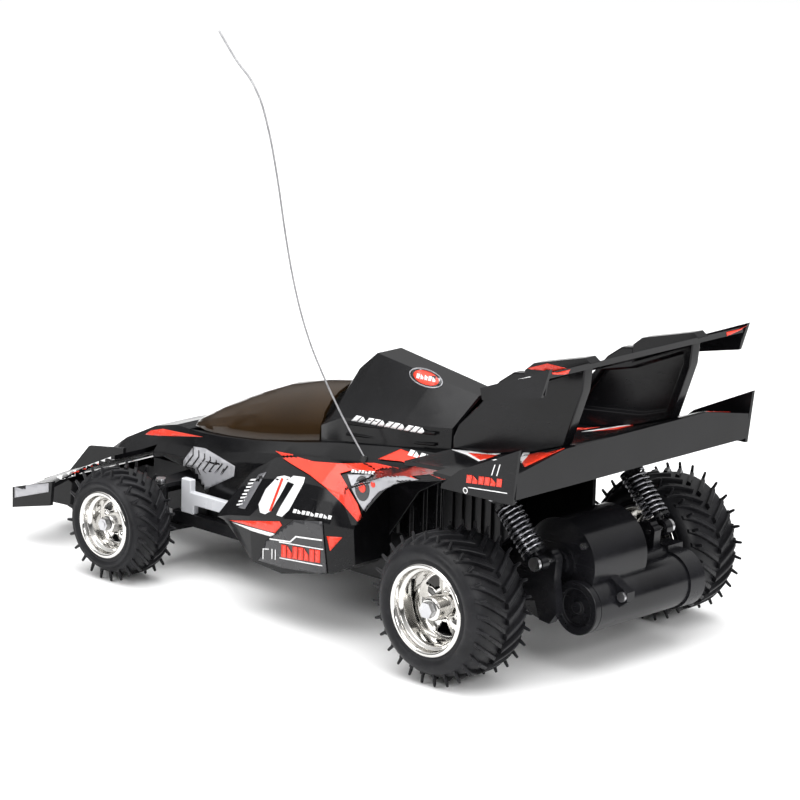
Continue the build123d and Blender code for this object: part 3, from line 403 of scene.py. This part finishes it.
# ------------------------------------------------------------------ wheels
WIDE_TYRE = 40.0                                     # a tyre wider than this is a rear one, in mm
REAR_TYRE, FRONT_TYRE = (42.5, 27.0), (33.5, 20.5)   # carcass radius, rim radius
REAR_RIM, FRONT_RIM = (27.0, 7.6, 3.1, 19.0), (20.5, 6.0, 2.4, 13.0)   # radius, hub, bore, dish depth
FRONT_LUGS, REAR_LUGS = 24, 28                       # lugs round each half of the tread
SHOULDER, CORNER = 11, 5                             # where the carcass starts to fall, from its face
SHOULDER_DROP, CORNER_DROP = 1.6, 4.4                # how far it falls there
TYRE_COUNT, RIM_COUNT, NAVE_COUNT, SPIDER_COUNT = 120, 96, 60, 120   # points round each
LUG_STEPS, SPIDER_STEPS, PIN_COUNT = 6, 12, 8
SPOKES = 5


def lathe(work, centre, profile, count):
    """Closed surface of revolution about the Y axis: profile is (radius, y) in mm, y outwards."""
    rings = []
    for r, y in profile:
        ring = []
        for k in range(count):
            turn = 2 * pi * k / count
            ring.append(work.verts.new(centre + Vector((r * sin(turn), y, r * cos(turn))) * MM))
        rings.append(ring)
    for first, second in zip(rings, rings[1:] + rings[:1]):
        for k in range(count):
            n = (k + 1) % count
            work.faces.new((first[k], first[n], second[n], second[k]))


def wheel_place(node):
    """Centre of a tyre's inner face, its side (1 left, -1 right), its width and its radius, in mm."""
    low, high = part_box(node)
    side = 1 if low[1] + high[1] > 0 else -1
    inner = low[1] if side > 0 else high[1]
    centre = Vector(((low[0] + high[0]) / 2, inner, (low[2] + high[2]) / 2))
    return centre, side, (high[1] - low[1]) / MM, (high[2] - low[2]) / 2 / MM


def wheel_object(work, name, node, look, side, centre):
    """Turn a wheel mesh made for the left side into the piece that replaces a CAD node."""
    if side < 0:
        for vert in work.verts:
            vert.co.y = 2 * centre.y - vert.co.y
        bmesh.ops.reverse_faces(work, faces=work.faces[:])
    bmesh.ops.recalc_face_normals(work, faces=work.faces[:])
    mesh = bpy.data.meshes.new(name)
    work.to_mesh(mesh)
    work.free()
    mesh.materials.append(LOOKS[look])
    obj = add_object(name, mesh)
    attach(obj, body_of(node))
    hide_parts(node)
    return obj


def tread_height(r, width, y):
    """Radius of the tyre's carcass at a distance from its inner face."""
    edge = min(y, width - y)
    if edge > SHOULDER:
        return r
    if edge > CORNER:
        return r - SHOULDER_DROP * (SHOULDER - edge) / (SHOULDER - CORNER)
    return r - SHOULDER_DROP - CORNER_DROP * (CORNER - edge) / CORNER


def make_tyre(node, lugs):
    """Rubber tyre: rounded carcass, slanted lugs that meet in a chevron, and a pin on each lug."""
    centre, side, width, pin_r = wheel_place(node)
    rear = width > WIDE_TYRE
    r, rim_r = REAR_TYRE if rear else FRONT_TYRE
    wall = [(rim_r + 0.3, 4.2), (rim_r + 1.2, 1.9), (rim_r + 2.6, 1.0), (rim_r + 3.4, 1.6),
            (rim_r + 4.2, 1.7), (rim_r + 5.2, 0.7), (rim_r + 8.0, 0.2), (r - 5.5, 0.9), (r - 3.4, 2.4),
            (r - 1.9, 4.6), (r - 0.7, 8.0)]
    far = [(a, width - y) for a, y in reversed(wall)]
    middle = [(r, 12.0), (r, width / 2), (r, width - 12.0)]
    inside = [(rim_r + 2, width - 7), (r - 5, width - 8), (r - 5, 8), (rim_r + 2, 7)]
    work = bmesh.new()
    lathe(work, centre, wall + middle + far + inside, TYRE_COUNT)
    for face in work.faces:
        face.smooth = True
    for k in range(lugs):
        for half in (-1, 1):
            start = 2 * pi * (k + (0.25 if half > 0 else -0.25)) / lugs
            rings = []
            for step in range(LUG_STEPS + 1):
                t = step / LUG_STEPS
                y = width / 2 + half * (1.2 + t * (width / 2 - 4.4))
                turn = start + 0.30 * t * (1.0 if rear else 1.15)
                low = tread_height(r, width, y) - 0.8
                high = low + 0.8 + (3.0 if rear else 2.4) * (1.0 - 0.35 * t ** 3)
                wide = (2.1 - 0.4 * t) if rear else (1.9 - 0.35 * t)
                ring = []
                for offset, level in ((-wide, low), (-wide * 0.72, high - 0.35), (-wide * 0.5, high),
                                      (wide * 0.5, high), (wide * 0.72, high - 0.35), (wide, low)):
                    a = turn + offset / r
                    ring.append(work.verts.new(centre + Vector((level * sin(a), y, level * cos(a))) * MM))
                rings.append(ring)
            for first, second in zip(rings, rings[1:]):
                for n in range(5):
                    work.faces.new((first[n], first[n + 1], second[n + 1], second[n]))
                work.faces.new((first[5], first[0], second[0], second[5]))
            work.faces.new(rings[0])
            work.faces.new(rings[-1][::-1])
            add_pin(work, centre, width / 2 + half * (width / 2 - (5.6 if rear else 4.6)),
                    start + 0.28 * (1.0 if rear else 1.15), r - 1.5, pin_r)
    return wheel_object(work, node + "_rubber", node, "rubber_black", side, centre)


def add_pin(work, centre, y, turn, low, high):
    """Small moulded pin that stands out of the tread."""
    out = Vector((sin(turn), 0, cos(turn)))
    across = Vector((cos(turn), 0, -sin(turn)))
    along = Vector((0, 1, 0))
    rings = []
    for level, radius in ((low, 1.25), (high - 2.6, 1.0), (high - 0.5, 0.85), (high - 0.05, 0.45)):
        ring = []
        for k in range(PIN_COUNT):
            a = 2 * pi * k / PIN_COUNT
            spot = out * level + along * y + (across * cos(a) + along * sin(a)) * radius
            ring.append(work.verts.new(centre + spot * MM))
        rings.append(ring)
    for first, second in zip(rings, rings[1:]):
        for k in range(PIN_COUNT):
            m = (k + 1) % PIN_COUNT
            work.faces.new((first[k], first[m], second[m], second[k]))
    work.faces.new(rings[-1])


def make_rim(node, tyre):
    """Plated rim: rolled lip, stepped dish, five-spoke spider with windows, and a hub."""
    centre, side, w, _ = wheel_place(tyre)
    r, hub, bore, deep = REAR_RIM if w > WIDE_TYRE else FRONT_RIM
    dish = [(r + 1.8, w - 3.0), (r + 1.8, w - 1.3), (r + 1.3, w - 0.6), (r + 0.4, w - 0.3),
            (r - 0.8, w - 0.5), (r - 1.5, w - 1.3), (r - 1.7, w - 4.6), (r - 2.2, w - 5.4),
            (r - 3.6, w - 5.9), (r - 4.1, w - 6.8), (r - 4.8, w - deep + 4), (r - 5.6, w - deep + 1.2),
            (r - 6.6, w - deep)]
    back = [(r - 6.6, w - deep - 1.8), (r - 4.2, w - deep - 1.8), (r - 2.2, w - deep - 6), (r - 1.9, 2.6),
            (r - 0.8, 0.7), (r + 1.2, 0.7), (r + 1.8, 1.4), (r + 1.8, 3.0), (r, 3.4), (r - 0.1, w - 3.2)]
    work = bmesh.new()
    lathe(work, centre, dish + back, RIM_COUNT)
    nave = [(bore, w - 5.2), (hub - 1.2, w - 5.2), (hub - 0.4, w - 5.8), (hub, w - 6.8),
            (hub + 0.5, w - deep + 3), (hub + 1.6, w - deep + 1.4), (hub + 1.6, w - deep - 1.4),
            (hub, w - deep - 2.4), (hub - 0.4, 8.0), (bore, 8.0)]
    lathe(work, centre, nave, NAVE_COUNT)
    count, inner, outer = SPIDER_COUNT, hub + 1.0, r - 6.0
    steps = SPIDER_STEPS
    fronts, backs = [], []
    for n in range(steps + 1):
        radius = inner + (outer - inner) * n / steps
        rise, fall = [], []
        for k in range(count):
            turn = 2 * pi * k / count
            spoke = 0.5 + 0.5 * cos(SPOKES * turn)
            lift = 2.4 * max(0.0, spoke - 0.35) ** 1.4 * sin(pi * min(1.0, 0.25 + 0.75 * n / steps))
            for ring, y in ((rise, w - deep + 0.6 + lift), (fall, w - deep - 1.2)):
                ring.append(work.verts.new(centre + Vector((radius * sin(turn), y,
                        radius * cos(turn))) * MM))
        fronts.append(rise)
        backs.append(fall)

    def is_open(n, k):
        """Whether a cell of the spider lies in a window."""
        middle = (2 * ((k + 0.5) / count * SPOKES % 1.0) - 1.0)
        reach = (n + 0.5) / steps
        return 0.18 < reach < 0.86 and abs(middle) < 0.20 + 0.50 * reach

    for n in range(steps):
        for k in range(count):
            m = (k + 1) % count
            if is_open(n, k):
                continue
            work.faces.new((fronts[n][k], fronts[n][m], fronts[n + 1][m], fronts[n + 1][k]))
            work.faces.new((backs[n][k], backs[n + 1][k], backs[n + 1][m], backs[n][m]))
            walls = (((n, k), (n + 1, k), k - 1, n), ((n, m), (n + 1, m), m, n), ((n, k), (n, m), k, n - 1),
                     ((n + 1, k), (n + 1, m), k, n + 1))
            for first, second, kk, nn in walls:
                outside = nn < 0 or nn >= steps
                if outside or is_open(nn, kk % count):
                    work.faces.new((fronts[first[0]][first[1]], fronts[second[0]][second[1]],
                                    backs[second[0]][second[1]], backs[first[0]][first[1]]))
    loose = [v for v in work.verts if not v.link_faces]
    bmesh.ops.delete(work, geom=loose, context="VERTS")
    for face in work.faces:
        face.smooth = True
    obj = wheel_object(work, node + "_plated", node, "chrome_plate", side, centre)
    bevel = obj.modifiers.new("edges", "BEVEL")
    bevel.width = 0.25 * MM
    bevel.segments = 2
    bevel.limit_method = "ANGLE"
    bevel.angle_limit = radians(50)
    return obj


# ------------------------------------------------------------------ stickers
AIM_FROM = 0.3       # rays start this far out, in m
GRAZING = 0.3        # least slope that the lift is divided by
TORN_STEPS = 5.0     # a triangle with an edge longer than this many steps is torn, and goes


def draped(outline, plane, depth, hosts, towards, step=3.0, lift=0.15, reach_limit=0.07):
    """Mesh of an outline in the y or z plane, dropped along a direction to just off the hosts."""
    across = plane == "y"
    work = bmesh.new()
    spots = [at(a, depth, b) if across else at(a, b, depth) for a, b in outline]
    work.faces.new([work.verts.new(spot) for spot in spots])
    for k in (0, 2) if across else (0, 1):
        values = [v.co[k] for v in work.verts]
        place = min(values) + step * MM * 0.5
        while place < max(values):
            normal = Vector((0, 0, 0))
            normal[k] = 1
            point = Vector((0, 0, 0))
            point[k] = place
            everything = work.verts[:] + work.edges[:] + work.faces[:]
            bmesh.ops.bisect_plane(work, geom=everything, plane_co=point, plane_no=normal)
            place += step * MM
    bmesh.ops.triangulate(work, faces=work.faces[:])
    gone = []
    for vert in work.verts:
        start = vert.co + towards * AIM_FROM
        best = None
        for tree in hosts:
            hit, normal, _, reach = tree.ray_cast(start, -towards)
            if hit is not None and (best is None or reach < best[2]):
                best = (hit, normal, reach)
        if best is None or abs(best[2] - AIM_FROM) > reach_limit:
            gone.append(vert)
            continue
        vert.co = best[0] + towards * lift * MM / max(GRAZING, abs(best[1].dot(towards)))
    bmesh.ops.delete(work, geom=gone, context="VERTS")
    torn = [f for f in work.faces if max(e.calc_length() for e in f.edges) > TORN_STEPS * step * MM]
    bmesh.ops.delete(work, geom=torn, context="FACES")
    bmesh.ops.recalc_face_normals(work, faces=work.faces[:])
    for face in work.faces:
        if face.normal.dot(towards) < 0:
            face.normal_flip()
        face.smooth = True
    return work


def sticker(name, look, outlines, plane, depth, hosts, towards=BACK, body="car", step=3.0, lift=0.15,
            thick=0.12, mirrored=True, reach_limit=0.07):
    """Thin film on the mouldings from one or more outlines, and the same on the other side."""
    for side in ((1, -1) if mirrored else (1,)):
        whole = bmesh.new()
        for outline in outlines:
            if plane == "z":
                points = [(a, side * b) for a, b in outline]
            else:
                points = outline
            level = depth * side if plane == "y" else depth
            way = Vector((towards.x, towards.y * side, towards.z))
            piece = draped(points, plane, level, hosts, way, step, lift, reach_limit)
            mesh = bpy.data.meshes.new("part")
            piece.to_mesh(mesh)
            piece.free()
            whole.from_mesh(mesh)
            bpy.data.meshes.remove(mesh)
        if not whole.faces:
            whole.free()
            continue
        mesh = bpy.data.meshes.new(name)
        whole.to_mesh(mesh)
        whole.free()
        mesh.materials.append(LOOKS[look])
        obj = add_object(name + ("_left" if side > 0 else "_right") if mirrored else name, mesh)
        film = obj.modifiers.new("film", "SOLIDIFY")
        film.thickness = thick * MM
        film.offset = 1.0
        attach(obj, body)


def disc(a, b, r, count=20, squeeze=1.0, tilt=0.0):
    """Round outline."""
    points = []
    for k in range(count):
        turn = 2 * pi * k / count
        u, v = r * cos(turn), r * squeeze * sin(turn)
        points.append((a + u * cos(tilt) - v * sin(tilt), b + u * sin(tilt) + v * cos(tilt)))
    return points


def blocks(start, end, height, count, gap=0.25, lean=0.25):
    """Row of leaning blocks between two points, in place of lettering."""
    outlines = []
    run = Vector((end[0] - start[0], end[1] - start[1])) / count
    for k in range(count):
        a = Vector(start) + run * k
        b = a + run * (1 - gap)
        rise = Vector((run.x * lean, height))
        cut = 0.45 if k % 3 == 1 else 1.0
        outlines.append([tuple(a), tuple(b), tuple(b + rise * cut), tuple(a + rise)])
    return outlines


BOLT = [(175, 103), (160, 104), (139, 104), (115, 107.5), (87, 113), (64, 114), (51, 111), (70, 110),
        (106, 105), (116, 101), (109, 94), (100, 85), (96, 77), (100, 74), (114, 83), (128, 90), (142, 95),
        (160, 99)]
TRIANGLE = [(103, 104), (54, 113.5), (43, 113.5), (60, 108), (72, 99.5), (81, 90.5), (87, 83.5), (92, 88),
            (98, 95)]
FENDER_BAND = [(87, 115), (68, 125), (50, 124), (22, 122), (17, 119), (33, 114), (50, 116), (67, 117.5)]


def livery(pieces):
    """Stickers of the car: bolts, strips, blocks and panels, with no lettering."""
    shade = bpy.context.evaluated_depsgraph_get()
    trees = {node: BVHTree.FromObject(obj, shade) for node, obj in pieces.items()}
    shell = [trees[n] for n in ("body_shell", "side_pod_left", "side_pod_right")]
    pods = [trees[n] for n in ("side_pod_left", "side_pod_right")]
    sticker("bolt", "red_film", [BOLT], "y", 78, shell, lift=0.7, step=0.8)
    sticker("arch_panel", "silver_film", [TRIANGLE], "y", 85, shell, lift=0.95, step=0.8)
    sticker("arch_ring", "grey_film", [disc(90, 98, 6.2, squeeze=1.25)], "y", 85, shell, step=0.8, lift=1.2)
    sticker("arch_dot", "red_film", [disc(90, 98.5, 2.9)], "y", 85, shell, step=0.8, lift=1.45)
    sticker("arch_dot_small", "red_film", [disc(81, 102.5, 1.9)], "y", 85, shell, step=0.8, lift=1.2)
    sticker("arch_blocks", "white_film", blocks((100, 106.0), (80, 108.5), 2.0, 7), "y", 85, shell,
            step=0.8, lift=1.2)
    sticker("fender_band", "red_film", [FENDER_BAND], "y", 75, shell, lift=0.7, step=0.8, reach_limit=0.16)
    sticker("fender_blocks", "white_film", blocks((62, 122.5), (20, 121.5), 4.0, 9, gap=0.2, lean=0.6), "y",
            75, shell, step=0.8, lift=1.1, reach_limit=0.16)
    cover = [trees["engine_cover"]]
    sticker("oval_rim", "silver_film", [disc(101, 155, 14.5, squeeze=0.42, tilt=0.02)], "y", 18, cover,
            lift=0.15, mirrored=False)
    sticker("oval_black", "black_film", [disc(101, 155, 13.7, squeeze=0.38, tilt=0.02)], "y", 18, cover,
            lift=0.3, mirrored=False)
    sticker("oval_red", "red_film", [disc(101, 155, 11.0, squeeze=0.42, tilt=0.02)], "y", 18, cover,
            lift=0.45, mirrored=False)
    sticker("oval_blocks", "white_film", blocks((109.5, 153.3), (92.5, 153.6), 3.2, 5), "y", 18, cover,
            lift=0.6, mirrored=False)
    sticker("cover_blocks", "white_film", blocks((142, 123.5), (80, 127), 4.2, 11, gap=0.2, lean=0.8), "y",
            42, cover, lift=0.2)
    sticker("pod_ticks", "white_film", [[(190 - 1.6 * k, 68 + 2.6 * k), (184.5 - 1.6 * k, 69.5 + 2.6 * k),
            (184 - 1.6 * k, 70.7 + 2.6 * k), (189.4 - 1.6 * k, 69.2 + 2.6 * k)] for k in range(8)], "y", 95,
            pods)
    sticker("pod_grey_strip", "strip_grey", [[(182, 67.5), (188, 67), (171, 92), (164, 95)]], "y", 95, pods)
    sticker("pod_white_strip", "white_film", [[(154, 94), (148, 96), (143, 96), (149, 86), (159, 71),
            (164, 68), (168.5, 68), (170, 73), (164, 84)]], "y", 95, pods)
    sticker("pod_red_line", "red_film", [[(158.6, 71), (160.6, 71), (150.5, 94), (148.5, 94)]], "y", 95,
            pods, lift=0.35)
    sticker("pod_seven", "white_film", [[(146, 93), (140, 97.5), (130, 98.5), (131, 94.5), (143, 75),
            (149, 69.5), (154, 69.5), (151, 75), (139, 92.5)]], "y", 95, pods)
    sticker("pod_blocks", "white_film", blocks((136, 75.5), (102, 78), 2.6, 9), "y", 99, pods)
    sticker("pod_wedge", "red_film", [[(192, 58.6), (147, 67.6), (145, 65.5), (151, 59.0)]], "y", 99, pods)
    sticker("pod_wedge_white", "white_film", [[(190, 57.8), (151, 58.6), (153, 56), (172, 56)]], "y", 99,
            pods)
    sticker("pod_plate", "grey_film", [[(156, 54), (132, 72), (108, 76), (103, 43), (141, 39), (163, 39)]],
            "y", 101, pods, lift=0.2, thick=0.9)
    sticker("pod_plate_red", "red_film", blocks((143.5, 45.5), (109, 49), 8.2, 7, gap=0.12, lean=0.0), "y",
            101, pods, lift=1.3)
    sticker("pod_plate_lines", "white_film", [[(145, 45), (145, 44.3), (107.5, 47.3), (107.5, 48)],
            [(145.5, 54.6), (145.5, 55.3), (107, 58.6), (107, 57.9)], [(160, 47.5), (154.5, 48.5),
            (154.5, 47.8), (159.2, 47)], [(160, 47.5), (159.2, 47), (159.2, 40.5), (160, 40.4)], [(152, 49),
            (151.2, 49), (151.2, 42.5), (152, 42.4)], [(149, 49.2), (148.2, 49.2), (148.2, 42.6),
            (149, 42.5)], [(154, 55.5), (136, 57.5), (131, 62), (108, 64.5), (108, 63.5), (130.5, 61),
            (135.5, 56.6), (154, 54.6)]], "y", 101, pods, lift=1.3)
    sticker("pod_corner", "red_film", [[(108, 66), (94.5, 68), (105, 57)]], "y", 97, pods)
    tread = [[(291, 76), (280, 77), (251, 71), (252, 64), (287, 45), (301, 57), (300, 65)]]
    nose = [trees["nose_cowl"], trees["body_shell"]]
    sticker("nose_patch", "silver_film", tread, "y", 36, nose)
    cuts = [[(292 - 5.6 * k, 75.5 - 1.0 * k), (291 - 5.6 * k, 75.5 - 1.0 * k), (290.5 - 5.6 * k, 70),
            (297.5 - 5.6 * k, 62), (294.5 - 5.6 * k, 54 + 2.2 * k), (295.6 - 5.6 * k, 54 + 2.2 * k),
            (298.7 - 5.6 * k, 62), (291.6 - 5.6 * k, 70.4)] for k in range(7)]
    sticker("nose_patch_cuts", "black_film", cuts, "y", 36, nose, lift=0.35)
    sticker("nose_wedge", "red_film", [[(360, 67), (354, 71), (342, 74.5), (302, 77), (346, 69)]], "y", 15,
            nose)
    deck = [trees["front_wing"]]
    sticker("deck_white", "white_film", [[(412, 33), (358, 58), (355, 54), (373, 46), (404, 33)]], "y", 45,
            deck)
    sticker("deck_red", "red_film", [[(396, 39), (372, 50), (370, 47), (390, 39)]], "y", 45, deck,
            lift=0.35)
    sticker("deck_silver", "silver_film", [[(402, 37), (368, 46), (368, 40), (402, 29)]], "y", 95, deck)
    wing = [trees["rear_wing"], trees["body_shell"]]
    sticker("wing_wedge", "white_film", [[(32, 68), (2, 49), (2, 76), (18, 70)]], "z", 131, wing)
    sticker("wing_wedge_red", "red_film", [[(20, 66), (5, 56), (4, 73)]], "z", 131, wing, lift=0.35)
    sticker("wing_stripes", "red_film", [[(29 - 4.2 * k, 37 + 1 * k), (26.6 - 4.2 * k, 35.5 + 1 * k),
            (16 - 4.2 * k, 42 + 1 * k), (18 - 4.2 * k, 44 + 1 * k)] for k in range(5)], "z", 131, wing)
    sticker("wing_band", "red_film", [[(-22, 66), (-3, 32), (-15, 22), (-29, 72)]], "z", 134, wing)
    sticker("wing_band_white", "white_film", [[(-19, 66), (0, 35), (-3, 32), (-22, 66)]], "z", 134, wing,
            lift=0.35)
    plate = [trees["rear_wing"]]
    sticker("plate_blocks", "red_film", blocks((-18.5, 128.5), (-47, 131.5), 5.0, 6, gap=0.15, lean=0.1),
            "y", 110, plate)
    sticker("plate_lines", "white_film", [[(-20, 126.3), (-20, 125.7), (-51, 128.4), (-51, 129)],
            [(-38, 137), (-40.5, 144), (-41.2, 144), (-38.8, 137)],
            [(-42, 137.4), (-44.5, 145), (-45.2, 145), (-42.8, 137.4)]], "y", 110, plate)
    sticker("plate_ring", "white_film", [disc(-18, 123.6, 1.9)], "y", 110, plate)
    sticker("plate_ring_hole", "black_film", [disc(-18, 123.6, 1.2)], "y", 110, plate, lift=0.35)
    top = [trees["upper_wing"]]
    sticker("upper_red", "red_film", [[(-14, 56), (-14, 37), (-31, 37), (-40, 49), (-34, 56), (-26, 50)]],
            "z", 188, top)
    sticker("upper_white", "white_film", [[(-14.5, 73), (-14.5, 57), (-19, 58), (-17, 71)]], "z", 184, top)


make_camera()
make_floor()
make_lights()
mouldings = finish_cad_nodes()
make_arch_skirts()
livery(mouldings)
for end, lugs in (("front", FRONT_LUGS), ("rear", REAR_LUGS)):
    for hand in ("left", "right"):
        make_tyre(f"{end}_tyre_{hand}", lugs)
        make_rim(f"{end}_rim_{hand}", f"{end}_tyre_{hand}")
